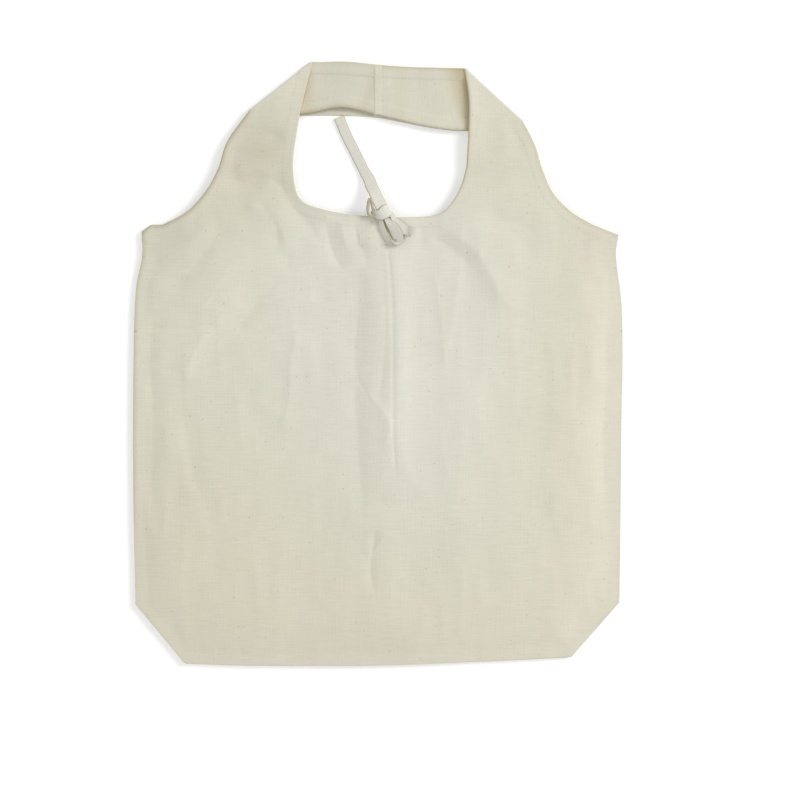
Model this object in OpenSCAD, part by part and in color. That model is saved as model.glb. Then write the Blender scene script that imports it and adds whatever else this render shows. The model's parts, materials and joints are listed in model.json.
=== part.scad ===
// Foldable cotton tote bag, lying flat on its back panel with its handles laid out above it.
// +X is the wearer's right of the front panel, +Y runs from the bottom seam to the handles and
// +Z points up from the surface that the bag lies on. The origin is on that surface, under the
// middle of the whole outline.

/* [Bag] */
// Width across the side seams
bag_w = 450; // [380:5:520]
// Length from the bottom seam to the top of the handles
bag_l = 556; // [470:4:640]
// Height of the space between the front and the back panel
pouch_h = 7; // [6:0.5:10]
// Thickness of one layer of cloth, as it lies
cloth_t = 1; // [0.8:0.1:1.2]
// Width of the turned hems
hem_w = 11; // [8:0.5:14]
// Width of the side, bottom and corner seams
seam_w = 12; // [8:0.5:14]

/* [Handles] */
// Width of the felled seam in the middle of each handle band
join_w = 8; // [6:0.5:12]
// Height of the front handle's upper face above the surface, at its outer end
handle_top = 5.2; // [5:0.1:6]

/* [Tie] */
// Width of the tie
tie_w = 9.5; // [8:0.5:11]
// Thickness of the tie where it lies flat
tie_t = 2; // [1.6:0.1:2.4]
// Diameter of the knot
knot_d = 16; // [13:0.5:18]

/* [Folds] */
// Distance of the handle fold line above the middle of the bag
handle_fold_y = 155; // [152:0.5:160]
// Distance of the bottom fold line below the middle of the bag
bottom_fold_y = 130; // [122:1:160]
// Clearance between two parts that fold against each other
fold_gap = 0.6; // [0.4:0.1:1]

/* [Hidden] */
$fn = 32;

cotton = [0.87, 0.85, 0.77];
cotton_back = [0.84, 0.82, 0.73];
cotton_hem = [0.90, 0.88, 0.80];
cotton_tie = [0.80, 0.77, 0.68];

// The outline is drawn for a bag of this width and length, and stretched to bag_w and bag_l.
drawn_w = 450;
drawn_l = 556;
stretch = [bag_w / drawn_w, bag_l / drawn_l];

// Heights of the two panels' faces above the surface.
front_z = cloth_t + pouch_h;
top_z = front_z + cloth_t;
// Thickness of a turned hem, over and above the cloth that it is turned from.
hem_t = 0.6;
// Points between two drawn points of a smooth edge.
smooth = 4;
// A length longer than the whole bag, for cutting it in two.
far = 2 * bag_l;

// Smooth edges, each as the points that it passes through, from the body of the bag outwards.
left_armhole = [[-198, 127], [-175, 139], [-157, 159], [-146, 180], [-138, 204], [-119, 231]];
right_armhole = [[197, 127], [177, 139], [160, 157], [150, 180], [144, 200], [133, 222]];
neck = [[-78, 197], [-79, 181], [-77, 163], [-72, 151], [-61, 144], [-32, 137], [0, 134],
        [38, 134], [57, 137], [68, 147], [77, 163], [82, 181]];
left_inner = [[-78, 197], [-74, 222], [-70, 240], [-61, 277]];
right_inner = [[82, 181], [84, 215], [84, 245], [80, 271]];
left_side = [[-223, -222], [-225, -120], [-225, -15], [-223, 63], [-217, 98]];
right_side = [[222, -220], [223, -144], [224, -52], [225, 3], [224, 55], [219, 98]];
left_shoulder = [[-217, 121], [-209, 127]];
right_shoulder = [[221, 118], [210, 122]];
bottom_edge = [[178, -270], [100, -274], [0, -278], [-110, -278], [-178, -276]];

// Edges of the handle bands, from the left fold to the right fold.
front_band_top = [[-61, 277], [-30, 276], [0, 274], [36, 272], [80, 271]];
front_band_low = [[-119, 231], [-70, 230], [-34, 236], [0, 229], [48, 218], [84, 215], [133, 222]];
back_band_top = [[-61, 277], [-30, 278], [0, 275], [36, 272], [80, 271]];
back_band_low = [[-119, 231], [-70, 229], [-34, 229], [0, 227], [48, 218], [84, 215], [133, 222]];

// Routes of the tie's tail and of its bow, as the middle of the strip.
tail_route = [[4, 142, 13.8], [-0.5, 151, 11.8], [-3, 157, 9], [-6, 163, 5.6], [-8, 169, 3.2],
              [-12, 176, 1.8], [-16, 184, 1.3], [-20, 192, 1.2], [-24, 200, 1.2],
              [-28, 208, 1.2], [-32, 217, 1.2], [-36, 227, 1.2]];
bow_route = [[1.5, 135, 12.2], [3, 129, 12], [5.5, 121, 11.7], [9, 114, 11.3], [14.5, 110.5, 10.8],
             [18.5, 112.5, 10.4], [17.5, 118, 10.4], [14, 125, 10.9], [9.5, 131, 12.2],
             [7.5, 135, 13.2], [9.5, 138.5, 13.8], [12.5, 136.5, 13.4], [14.5, 132.5, 12.2],
             [18, 129.5, 11], [21.5, 126, 10.5], [25, 122.5, 10.5], [28, 120.8, 11.3],
             [30.5, 120.6, 13.2]];
// Thickness of the bow's strip, which stands on its edge.
bow_w = 4;
// Size of the patch that the tie is sewn under.
patch_w = 42;
patch_l = 14;

// A point of the drawn outline on the real bag.
function place(p) = [p.x * stretch.x, p.y * stretch.y];

// The points of a smooth curve through p, which starts and ends at its first and last point.
function curve_point(a, b, c, d, t) =
    (2 * b + (c - a) * t + (2 * a - 5 * b + 4 * c - d) * t * t
     + (3 * b - a - 3 * c + d) * t * t * t) / 2;
function curve(p) = [
    for (i = [0 : len(p) - 2], k = [0 : smooth - 1])
        curve_point(p[max(i - 1, 0)], p[i], p[i + 1], p[min(i + 2, len(p) - 1)], k / smooth),
    p[len(p) - 1]
];
function edge(p) = [for (q = curve(p)) place(q)];
function backwards(p) = [for (i = [len(p) - 1 : -1 : 0]) p[i]];

function unit(v) = v / norm(v);
// The direction of a line of points at point i.
function along(p, i) = unit(p[min(i + 1, len(p) - 1)] - p[max(i - 1, 0)]);
// A line of points moved sideways by w, to its left for a positive w.
function beside(p, w) = [
    for (i = [0 : len(p) - 1]) p[i] + w * [-along(p, i).y, along(p, i).x]
];

// A flat layer between the heights low and low + t.
module layer(points, low, t) {
    translate([0, 0, low]) linear_extrude(t) polygon(points);
}

// A flat strip of width w along a line of points, to its left for a positive w.
module strip(line, w, low, t) {
    layer(concat(line, backwards(beside(line, w))), low, t);
}

// What lies between the two heights y0 and y1 of the bag.
module between(y0, y1) {
    intersection() {
        children();
        translate([-far / 2, y0, -far / 2]) cube([far, y1 - y0, far]);
    }
}

// Lines that the parts are cut apart at.
root_low = -bottom_fold_y + fold_gap / 2;
root_high = handle_fold_y - fold_gap / 2;
handle_low = handle_fold_y + fold_gap / 2;
bottom_high = -bottom_fold_y - fold_gap / 2;

// The outline of a whole panel with its two legs, each ending on its diagonal fold.
panel_outline = concat(
    edge(bottom_edge),
    edge(left_side),
    [for (p = left_shoulder) place(p)],
    edge(left_armhole),
    backwards(edge(left_inner)),
    [for (i = [1 : len(edge(neck)) - 2]) edge(neck)[i]],
    edge(right_inner),
    backwards(edge(right_armhole)),
    [for (p = backwards(right_shoulder)) place(p)],
    backwards(edge(right_side))
);

module panel(low) {
    layer(panel_outline, low, cloth_t);
}

module front_panel() {
    color(cotton) between(root_low, root_high) panel(front_z);
}

module back_panel() {
    color(cotton_back) between(root_low, root_high) panel(0);
}

module front_panel_bottom() {
    color(cotton) between(-far / 2, bottom_high) panel(front_z);
}

module back_panel_bottom() {
    color(cotton_back) between(-far / 2, bottom_high) panel(0);
}

// Hems are turned to the inside: under the front panel and on top of the back panel.
module hem(line, w, low) {
    color(cotton_hem) between(root_low, root_high) strip(edge(line), w, low, hem_t);
}

module front_neck_hem() { hem(neck, -hem_w, front_z - hem_t); }
module back_neck_hem() { hem(neck, -hem_w, cloth_t); }
module front_left_armhole_hem() { hem(left_armhole, -hem_w, front_z - hem_t); }
module front_right_armhole_hem() { hem(right_armhole, hem_w, front_z - hem_t); }
module back_left_armhole_hem() { hem(left_armhole, -hem_w, cloth_t); }
module back_right_armhole_hem() { hem(right_armhole, hem_w, cloth_t); }

// Seams close the pouch between the two panels.
module seam(line, w) {
    color(cotton_hem) strip(line, w, cloth_t, pouch_h);
}

module left_side_seam() { between(root_low, root_high) seam(edge(left_side), -seam_w); }
module right_side_seam() { between(root_low, root_high) seam(edge(right_side), seam_w); }
module left_side_seam_bottom() { between(-far / 2, bottom_high) seam(edge(left_side), -seam_w); }
module right_side_seam_bottom() { between(-far / 2, bottom_high) seam(edge(right_side), seam_w); }

// The stretch of the bottom edge between the two corner seams.
module bottom_seam() {
    line = edge(bottom_edge);
    intersection() {
        seam(line, -seam_w);
        translate([place([-165, 0]).x, -far / 2, 0]) cube([place([330, 0]).x, far, far]);
    }
}

// A corner seam runs along the corner that boxing the bottom has cut off.
module corner_seam(from, to, w) {
    cut = [place(from), place(to)];
    dir = unit(cut[1] - cut[0]);
    seam([cut[0] + seam_w * dir, cut[1] - seam_w * dir], w);
}

module left_corner_seam() { corner_seam([-178, -276], [-223, -222], -seam_w); }
module right_corner_seam() { corner_seam([178, -270], [222, -220], seam_w); }

// A strap is a leg with half of the band turned under it at its diagonal fold. The band is the
// lower layer, and the leg the upper one.
module strap(side, top_line, low_line) {
    half = side * far / 2;
    between(handle_low, far / 2) intersection() {
        union() {
            panel(cloth_t);
            layer(concat(edge(top_line), backwards(edge(low_line))), 0, cloth_t);
        }
        translate([min(half, 0), 0, 0]) cube([far / 2, far / 2, far]);
    }
}

// The seam that joins the two halves of a band, lying on it.
module handle_join(top_line, low_line) {
    cut = [-join_w / 2, join_w / 2];
    intersection() {
        layer(concat(edge(top_line), backwards(edge(low_line))), cloth_t, hem_t);
        translate([cut[0], 0, 0]) cube([join_w, far / 2, far]);
    }
}

// The turned hems along both edges of a band, between the two legs and clear of the join.
module handle_hems(top_line, low_line) {
    window = [place([-58, 0]).x, place([76, 0]).x];
    difference() {
        intersection() {
            union() {
                strip(edge(top_line), -hem_w, cloth_t, hem_t);
                strip(edge(low_line), hem_w, cloth_t, hem_t);
            }
            translate([window[0], 0, 0]) cube([window[1] - window[0], far / 2, far]);
        }
        translate([-join_w / 2 - fold_gap, 0, 0]) cube([join_w + 2 * fold_gap, far / 2, far]);
    }
}

// Each handle lies at a slight slope: the front one comes down from the front panel onto the
// back one, whose legs rise over its own band.
stack_t = 2 * cloth_t;
handle_reach = bag_l / 2 - handle_fold_y;
band_reach = place([0, min([for (p = back_band_low) p.y])]).y - handle_fold_y;
front_slope = -asin((top_z - handle_top) / handle_reach);
back_slope = asin(cloth_t / band_reach);

module on_front_slope() {
    translate([0, handle_fold_y, top_z]) rotate([front_slope, 0, 0])
        translate([0, -handle_fold_y, -stack_t]) children();
}

module on_back_slope() {
    translate([0, handle_fold_y, 0]) rotate([back_slope, 0, 0])
        translate([0, -handle_fold_y, -cloth_t]) children();
}

module front_left_strap() {
    color(cotton) on_front_slope() strap(-1, front_band_top, front_band_low);
}

module front_right_strap() {
    color(cotton) on_front_slope() strap(1, front_band_top, front_band_low);
}

module front_handle_join() {
    color(cotton_hem) on_front_slope() handle_join(front_band_top, front_band_low);
}

module front_handle_hems() {
    color(cotton_hem) on_front_slope() handle_hems(front_band_top, front_band_low);
}

module back_left_strap() {
    color(cotton_back) on_back_slope() strap(-1, back_band_top, back_band_low);
}

module back_right_strap() {
    color(cotton_back) on_back_slope() strap(1, back_band_top, back_band_low);
}

module back_handle_join() {
    color(cotton_hem) on_back_slope() handle_join(back_band_top, back_band_low);
}

module back_handle_hems() {
    color(cotton_hem) on_back_slope() handle_hems(back_band_top, back_band_low);
}

// The patch inside the neckline that the tie is sewn under.
module tie_patch() {
    low = place([-18, 108]);
    color(cotton_hem) translate([low.x, low.y, front_z - hem_t]) cube([patch_w, patch_l, hem_t]);
}

// A strip swept along a route: rings of an oval section, w across and t thick.
function sideways(p, i) = unit(cross([0, 0, 1], along(p, i)));
function upwards(p, i) = cross(along(p, i), sideways(p, i));
module swept(route, w, t, sides) {
    n = len(route);
    rings = [
        for (i = [0 : n - 1], k = [0 : sides - 1])
            let (a = 360 * (k + 0.5) / sides)
            route[i] + sideways(route, i) * cos(a) * w / 2 + upwards(route, i) * sin(a) * t / 2
    ];
    walls = [
        for (i = [0 : n - 2], k = [0 : sides - 1])
            let (a = i * sides + k, b = i * sides + (k + 1) % sides)
            [a, a + sides, b + sides, b]
    ];
    start = [for (k = [0 : sides - 1]) k];
    end = [for (k = [sides - 1 : -1 : 0]) (n - 1) * sides + k];
    polyhedron(rings, concat(walls, [start, end]), convexity = 4);
}

module tie_tail() {
    color(cotton_tie) swept(tail_route, tie_w, tie_t, 8);
}

module tie_bow() {
    color(cotton_tie) swept(bow_route, bow_w, tie_t, 8);
}

// The knot: three turns of the tie drawn tight over the neckline.
module tie_knot() {
    turn_d = knot_d / 2;
    color(cotton_tie) hull() {
        translate([-1, 145, top_z + turn_d / 2 + 0.2]) sphere(d = turn_d);
        translate([8, 135, top_z + turn_d / 2 + 0.2]) sphere(d = turn_d);
        translate([3, 140, top_z + turn_d / 2 + 1.5]) sphere(d = turn_d * 1.1);
        translate([0, 137, top_z + turn_d / 2 + 0.2]) sphere(d = turn_d);
    }
}

front_panel();
back_panel();
front_panel_bottom();
back_panel_bottom();
front_neck_hem();
back_neck_hem();
front_left_armhole_hem();
front_right_armhole_hem();
back_left_armhole_hem();
back_right_armhole_hem();
left_side_seam();
right_side_seam();
left_side_seam_bottom();
right_side_seam_bottom();
bottom_seam();
left_corner_seam();
right_corner_seam();
front_left_strap();
front_right_strap();
front_handle_join();
front_handle_hems();
back_left_strap();
back_right_strap();
back_handle_join();
back_handle_hems();
tie_patch();
tie_knot();
tie_tail();
tie_bow();
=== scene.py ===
"""A foldable cotton tote bag, lying flat with its handles laid out above it."""
import json
import math

import bpy
import numpy as np
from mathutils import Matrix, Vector
from mathutils.bvhtree import BVHTree
from mathutils.geometry import delaunay_2d_cdt
from mathutils.kdtree import KDTree


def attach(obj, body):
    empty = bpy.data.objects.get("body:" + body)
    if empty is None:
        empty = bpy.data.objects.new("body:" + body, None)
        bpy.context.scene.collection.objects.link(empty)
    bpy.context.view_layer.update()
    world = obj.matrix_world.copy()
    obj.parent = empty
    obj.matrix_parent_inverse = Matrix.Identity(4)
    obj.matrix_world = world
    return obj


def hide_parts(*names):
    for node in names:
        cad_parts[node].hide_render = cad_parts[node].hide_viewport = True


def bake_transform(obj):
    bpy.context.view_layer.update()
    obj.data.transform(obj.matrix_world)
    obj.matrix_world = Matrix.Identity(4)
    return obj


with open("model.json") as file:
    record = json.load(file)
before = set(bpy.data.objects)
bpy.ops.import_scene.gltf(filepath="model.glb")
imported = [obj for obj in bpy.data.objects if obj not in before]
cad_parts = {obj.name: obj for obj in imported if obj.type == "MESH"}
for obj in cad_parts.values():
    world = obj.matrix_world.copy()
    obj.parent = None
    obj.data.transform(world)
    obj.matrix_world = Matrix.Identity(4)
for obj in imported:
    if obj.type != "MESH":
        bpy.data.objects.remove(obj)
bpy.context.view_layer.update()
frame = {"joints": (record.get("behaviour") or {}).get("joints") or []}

MM = 0.001
UP = np.array([0.0, 0.0, 1.0])


def joint(name):
    """The frame's joint of that name."""
    return next(j for j in frame["joints"] if j["name"] == name)


# ---------------------------------------------------------------- camera and lights

def make_camera():
    """Straight above the bag, a little below and to the right of its middle, as the photograph is framed."""
    data = bpy.data.cameras.new("camera")
    data.lens = 100
    data.sensor_width = 36
    cam = bpy.data.objects.new("camera", data)
    bpy.context.collection.objects.link(cam)
    view_width = 0.738
    cam.location = (0.0203, -0.0337, view_width * data.lens / data.sensor_width)
    data.clip_end = 20
    bpy.context.scene.camera = cam


def area_light(name, place, target, size, power, colour=(1, 1, 1)):
    data = bpy.data.lights.new(name, "AREA")
    data.shape = "SQUARE"
    data.size = size
    data.energy = power
    data.color = colour
    light = bpy.data.objects.new(name, data)
    light.location = place
    light.rotation_mode = "QUATERNION"
    light.rotation_quaternion = (Vector(target) - Vector(place)).to_track_quat("-Z", "Y")
    bpy.context.collection.objects.link(light)


def make_stage():
    """A pale floor just under the bag, a pale sky, a low key light and a soft fill."""
    mesh = bpy.data.meshes.new("floor")
    half = 4.0
    low = -0.0003
    corners = [(-half, -half, low), (half, -half, low), (half, half, low), (-half, half, low)]
    mesh.from_pydata(corners, [], [(0, 1, 2, 3)])
    floor = bpy.data.objects.new("floor", mesh)
    bpy.context.collection.objects.link(floor)
    mat = bpy.data.materials.new("floor")
    mat.use_nodes = True
    shader = mat.node_tree.nodes["Principled BSDF"]
    shader.inputs["Base Color"].default_value = (0.8, 0.8, 0.8, 1)
    shader.inputs["Emission Color"].default_value = (1, 1, 1, 1)
    shader.inputs["Emission Strength"].default_value = 0.28
    shader.inputs["Roughness"].default_value = 0.9
    shader.inputs["Specular IOR Level"].default_value = 0.1
    mesh.materials.append(mat)
    world = bpy.data.worlds.new("sky")
    world.use_nodes = True
    world.node_tree.nodes["Background"].inputs["Color"].default_value = (1, 1, 1, 1)
    world.node_tree.nodes["Background"].inputs["Strength"].default_value = 0.62
    bpy.context.scene.world = world
    area_light("key", (3.3, 1.5, 2.3), (0, 0, 0), 1.5, 102, (1.0, 0.99, 0.965))
    area_light("fill", (-1.6, -1.0, 2.8), (0, 0, 0), 2.2, 15, (0.97, 0.99, 1.0))
    bpy.context.scene.view_settings.view_transform = "Standard"


# ---------------------------------------------------------------- lines and numbers

def unit(v):
    v = np.asarray(v, float)
    return v / np.maximum(np.linalg.norm(v, axis=-1, keepdims=True), 1e-12)


def curve(points, step=None, smooth=8):
    """A smooth line through points, resampled to about step where that is given."""
    p = np.asarray(points, float)
    q = np.vstack([2 * p[0] - p[1], p, 2 * p[-1] - p[-2]])
    line = []
    for i in range(1, len(q) - 2):
        a, b, c, d = q[i - 1:i + 3]
        for t in np.arange(smooth) / smooth:
            line.append((2 * b + (c - a) * t + (2 * a - 5 * b + 4 * c - d) * t**2
                         + (3 * b - a - 3 * c + d) * t**3) / 2)
    line = np.array(line + [p[-1]])
    return line if step is None else resample(line, step)


def resample(line, step):
    """The line with its points an even distance of about step apart."""
    line = np.asarray(line, float)
    s = np.concatenate([[0], np.cumsum(np.linalg.norm(np.diff(line, axis=0), axis=1))])
    n = max(2, int(round(s[-1] / step)) + 1)
    t = np.linspace(0, s[-1], n)
    return np.stack([np.interp(t, s, line[:, k]) for k in range(line.shape[1])], axis=1)


def smoothstep(x, lo=0.0, hi=1.0):
    t = np.clip((np.asarray(x, float) - lo) / (hi - lo), 0, 1)
    return t * t * (3 - 2 * t)


def to_line(p, line, block=4000):
    """For each point of p, its distance from a line of points, the share of the line's length at
    the nearest spot and the side of the line that it is on (1 is left)."""
    line = np.asarray(line, float)
    a, b = line[:-1], line[1:]
    ab = b - a
    seg = np.linalg.norm(ab, axis=1)
    start = np.concatenate([[0], np.cumsum(seg)[:-1]])
    dist, share, side = [], [], []
    for i in range(0, len(p), block):
        ap = p[i:i + block, None, :] - a[None]
        t = np.clip((ap * ab).sum(2) / np.maximum(seg**2, 1e-18), 0, 1)
        off = ap - t[..., None] * ab
        d = np.linalg.norm(off, axis=2)
        k = d.argmin(1)
        rows = np.arange(len(k))
        dist.append(d[rows, k])
        share.append((start[k] + t[rows, k] * seg[k]) / seg.sum())
        side.append(np.sign(ab[k, 0] * ap[rows, k, 1] - ab[k, 1] * ap[rows, k, 0]))
    return np.concatenate(dist), np.concatenate(share), np.concatenate(side)


def from_line(p, line):
    """For each point of p, its distance from a line of points, by the nearest of many points on it."""
    dense = resample(line, 0.4 * MM)
    tree = KDTree(len(dense))
    for k, (x, y) in enumerate(dense):
        tree.insert((x, y, 0), k)
    tree.balance()
    return np.array([tree.find((x, y, 0))[2] for x, y in p])


def lattice_noise(p, size, seed):
    """Smooth noise from -1 to 1, with hills about size apart (one size, or one for x and one for y)."""
    rng = np.random.default_rng(seed)
    n = 64
    table = rng.uniform(-1, 1, (n, n))
    q = np.asarray(p, float) / np.asarray(size, float) + 0.5 * n
    i = np.floor(q).astype(int)
    f = q - i
    f = f * f * f * (f * (f * 6 - 15) + 10)
    x0, y0 = i[:, 0] % n, i[:, 1] % n
    x1, y1 = (x0 + 1) % n, (y0 + 1) % n
    top = table[x0, y0] * (1 - f[:, 0]) + table[x1, y0] * f[:, 0]
    low = table[x0, y1] * (1 - f[:, 0]) + table[x1, y1] * f[:, 0]
    return top * (1 - f[:, 1]) + low * f[:, 1]


# ---------------------------------------------------------------- the cut of a panel

# The smooth edges of a panel, in millimetres, as in the frame.
LEFT_ARMHOLE = [(-198, 127), (-175, 139), (-157, 159), (-146, 180), (-138, 204), (-119, 231)]
RIGHT_ARMHOLE = [(197, 127), (177, 139), (160, 157), (150, 180), (144, 200), (133, 222)]
NECK = [(-78, 197), (-79, 181), (-77, 163), (-72, 151), (-61, 144), (-32, 137), (0, 134),
        (38, 134), (57, 137), (68, 147), (77, 163), (82, 181)]
LEFT_INNER = [(-78, 197), (-74, 222), (-70, 240), (-61, 277)]
RIGHT_INNER = [(82, 181), (84, 215), (84, 245), (80, 271)]
LEFT_SIDE = [(-223, -222), (-225, -120), (-225, -15), (-223, 63), (-217, 98), (-217, 121)]
RIGHT_SIDE = [(222, -220), (223, -144), (224, -52), (225, 3), (224, 55), (219, 98), (221, 118)]
LEFT_SHOULDER = [(-217, 121), (-209, 127), (-198, 127)]
RIGHT_SHOULDER = [(221, 118), (210, 122), (197, 127)]
BOTTOM = [(178, -270), (100, -274), (0, -278), (-110, -278), (-178, -276)]
BAND_TOP = {"front": [(-61, 277), (-30, 276), (0, 274), (36, 272), (80, 271)],
            "back": [(-61, 277), (-30, 278), (0, 275), (36, 272), (80, 271)]}
BAND_LOW = {"front": [(-119, 231), (-70, 230), (-34, 236), (0, 229), (48, 218), (84, 215), (133, 222)],
            "back": [(-119, 231), (-70, 229), (-34, 229), (0, 227), (48, 218), (84, 215), (133, 222)]}
# The diagonal folds, from the outer to the inner edge of each leg.
FOLDS = {-1: ((-119, 231), (-61, 277)), 1: ((133, 222), (80, 271))}

STEP = 2.4 * MM  # between the points of an edge
GRID = 3.2 * MM  # between the points inside a panel
HEM = 11 * MM
STITCH_IN = 9.4 * MM  # from a hemmed edge to its line of stitches
CLOTH = 0.6 * MM
FOLD_R = 0.9 * MM  # radius of a strap's turn at its fold
TURN = np.pi * FOLD_R  # length of cloth in that turn
SPLIT_Y = 30 * MM  # height at which each panel is made as two pieces
PATCH = ((-18, 108), (24, 122))  # lowest and highest corners of the patch inside the neckline, in millimetres
PATCH_T = 0.6 * MM


def line_of(points, step=STEP):
    return curve(np.array(points, float) * MM, step)


def past_fold(p, side):
    """How far each point lies outside the fold line of one side, and the direction out of it."""
    a, b = (np.array(q, float) * MM for q in FOLDS[side])
    d = unit(b - a)
    n = np.array([-d[1], d[0]]) * (1 if side < 0 else -1)
    return (p - a) @ n, n


def unfolded(plan, side):
    """Where points of the band's plan are on the flat cut, past the fold of one side and its turn."""
    s, n = past_fold(plan, side)
    return plan + (TURN - 2 * s)[:, None] * n


def half_band(line, side):
    """The part of a band's edge from the fold of one side to the middle, with the line's own order."""
    dense = curve(np.array(line, float) * MM, 0.5 * MM)
    keep = dense[:, 0] * side >= -1e-9
    part = dense[keep]
    return resample(part, STEP)


class Pattern:
    """The flat cut of one panel with its two legs unfolded."""

    def __init__(self, which):
        top, low = BAND_TOP[which], BAND_LOW[which]
        left_low = unfolded(half_band(low, -1), -1)
        left_top = unfolded(half_band(top, -1), -1)
        right_low = unfolded(half_band(low, 1), 1)
        right_top = unfolded(half_band(top, 1), 1)
        outer_left = np.vstack([line_of(LEFT_ARMHOLE), left_low])
        outer_right = np.vstack([line_of(RIGHT_ARMHOLE), right_low[::-1]])
        inner_left = np.vstack([line_of(LEFT_INNER), left_top])
        inner_right = np.vstack([line_of(RIGHT_INNER), right_top[::-1]])
        neck = line_of(NECK)
        shoulders = [resample(np.array(s, float) * MM, STEP) for s in (LEFT_SHOULDER, RIGHT_SHOULDER)]
        self.free = [
            np.vstack([shoulders[0], outer_left[1:]]),
            np.vstack([shoulders[1], outer_right[1:]]),
            np.vstack([inner_left[::-1], neck[1:], inner_right[1:]]),
        ]
        corner_left = resample(np.array([BOTTOM[-1], LEFT_SIDE[0]], float) * MM, STEP)
        corner_right = resample(np.array([RIGHT_SIDE[0], BOTTOM[0]], float) * MM, STEP)
        self.closed = np.vstack([
            line_of(RIGHT_SIDE)[::-1], corner_right[1:], line_of(BOTTOM)[1:],
            corner_left[1:], line_of(LEFT_SIDE)[1:],
        ])
        end_left = resample(np.vstack([outer_left[-1], inner_left[-1]]), STEP)
        end_right = resample(np.vstack([inner_right[-1], outer_right[-1]]), STEP)
        self.loop = np.vstack([
            self.closed, self.free[0][1:], end_left[1:], self.free[2][1:], end_right[1:],
            self.free[1][::-1][1:-1],
        ])
        self.ends = [end_left, end_right]

    def inside(self, p):
        """Which points lie in the cut."""
        x, y = p[:, 0], p[:, 1]
        a, b = self.loop, np.roll(self.loop, -1, axis=0)
        odd = np.zeros(len(p), bool)
        for (x0, y0), (x1, y1) in zip(a, b):
            if y0 != y1:
                crosses = (y0 > y) != (y1 > y)
                odd ^= crosses & (x < (x1 - x0) * (y - y0) / (y1 - y0) + x0)
        return odd

    def points(self, lines):
        """The points that the panel's mesh is made through: a grid, and rows along the hems, the
        folds and the creases."""
        lo, hi = self.loop.min(0), self.loop.max(0)
        rows = np.arange(lo[1], hi[1], GRID * 0.866)
        grid = np.array([(x + (k % 2) * GRID / 2, y)
                         for k, y in enumerate(rows) for x in np.arange(lo[0], hi[0], GRID)])
        keep = self.inside(grid)
        for free in self.free:
            keep &= from_line(grid, free) > HEM + 2.2 * MM
        keep &= from_line(grid, self.closed) > GRID * 0.5
        extra = []
        for free in self.free:
            along = resample(free, 2.2 * MM)
            d = unit(np.gradient(along, axis=0))
            n = np.stack([-d[:, 1], d[:, 0]], axis=1)
            for off in np.array([1.2, 3.4, 6.0, 8.2, 8.9, 9.4, 9.9, 10.6, 11.6, 13.0]) * MM:
                for sign in (1, -1):
                    row = along + sign * n * off
                    row = row[self.inside(row)]
                    for other in self.free:
                        row = row[from_line(row, other) > off - 0.15 * MM]
                    extra.append(row)
        for side in FOLDS:
            a, b = (np.array(q, float) * MM for q in FOLDS[side])
            line = resample(np.vstack([a, b]), 1.6 * MM)
            _, n = past_fold(line, side)
            for off in np.array([-2.4, -1.2, -0.4, 0, 0.45, 0.95, 1.4, 1.9, 2.4, 2.83, 3.4, 4.6]) * MM:
                extra.append(line + n * off)
        for line, *_ in lines:
            row = curve(np.array(line, float) * MM, 2.0 * MM)
            d = unit(np.gradient(row, axis=0))
            n = np.stack([-d[:, 1], d[:, 0]], axis=1)
            for off in np.array([-2.4, -1.1, 0, 1.1, 2.4]) * MM:
                extra.append(row + n * off)
        extra = np.vstack(extra)
        extra = extra[self.inside(extra)]
        for edge in self.free + [self.closed] + self.ends:
            extra = extra[from_line(extra, edge) > 0.5 * MM]
        extra = thinned(extra, 0.42 * MM)
        grid = grid[keep]
        grid = grid[clear_of(grid, extra, 1.3 * MM)]
        return np.vstack([grid, extra])

    def mesh(self, lines):
        """Points and triangles of the flat panel, the loop's points first."""
        inner = self.points(lines)
        n = len(self.loop)
        verts = [Vector(p) for p in np.vstack([self.loop, inner])]
        edges = [(i, (i + 1) % n) for i in range(n)]
        out = delaunay_2d_cdt(verts, edges, [], 1, 1e-7)
        flat = np.array([tuple(v) for v in out[0]])
        tris = np.array([f for f in out[2] if len(f) == 3])
        a, b, c = flat[tris[:, 0]], flat[tris[:, 1]], flat[tris[:, 2]]
        area = (b[:, 0] - a[:, 0]) * (c[:, 1] - a[:, 1]) - (b[:, 1] - a[:, 1]) * (c[:, 0] - a[:, 0])
        tris[area < 0] = tris[area < 0][:, ::-1]
        return flat, tris[np.abs(area) > 1e-12]


def cells(p, size):
    return [tuple(c) for c in np.floor(p / size).astype(int)]


def thinned(p, gap):
    """Points of p that are at least gap from the ones kept before them."""
    kept, grid = [], {}
    for k, (q, c) in enumerate(zip(p, cells(p, gap))):
        near = (grid.get((c[0] + i, c[1] + j)) for i in (-1, 0, 1) for j in (-1, 0, 1))
        if all(o is None or (p[o][0] - q[0])**2 + (p[o][1] - q[1])**2 >= gap * gap for o in near):
            grid[c] = k
            kept.append(k)
    return p[kept]


def clear_of(p, others, gap):
    """Which points of p are at least gap from every other point."""
    grid = {}
    for q, c in zip(others, cells(others, gap)):
        grid.setdefault(c, []).append(q)
    free = np.ones(len(p), bool)
    for k, (q, c) in enumerate(zip(p, cells(p, gap))):
        for i in (-1, 0, 1):
            for j in (-1, 0, 1):
                for o in grid.get((c[0] + i, c[1] + j), ()):
                    if (o[0] - q[0])**2 + (o[1] - q[1])**2 < gap * gap:
                        free[k] = False
    return free


# ---------------------------------------------------------------- how the cloth lies

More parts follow.
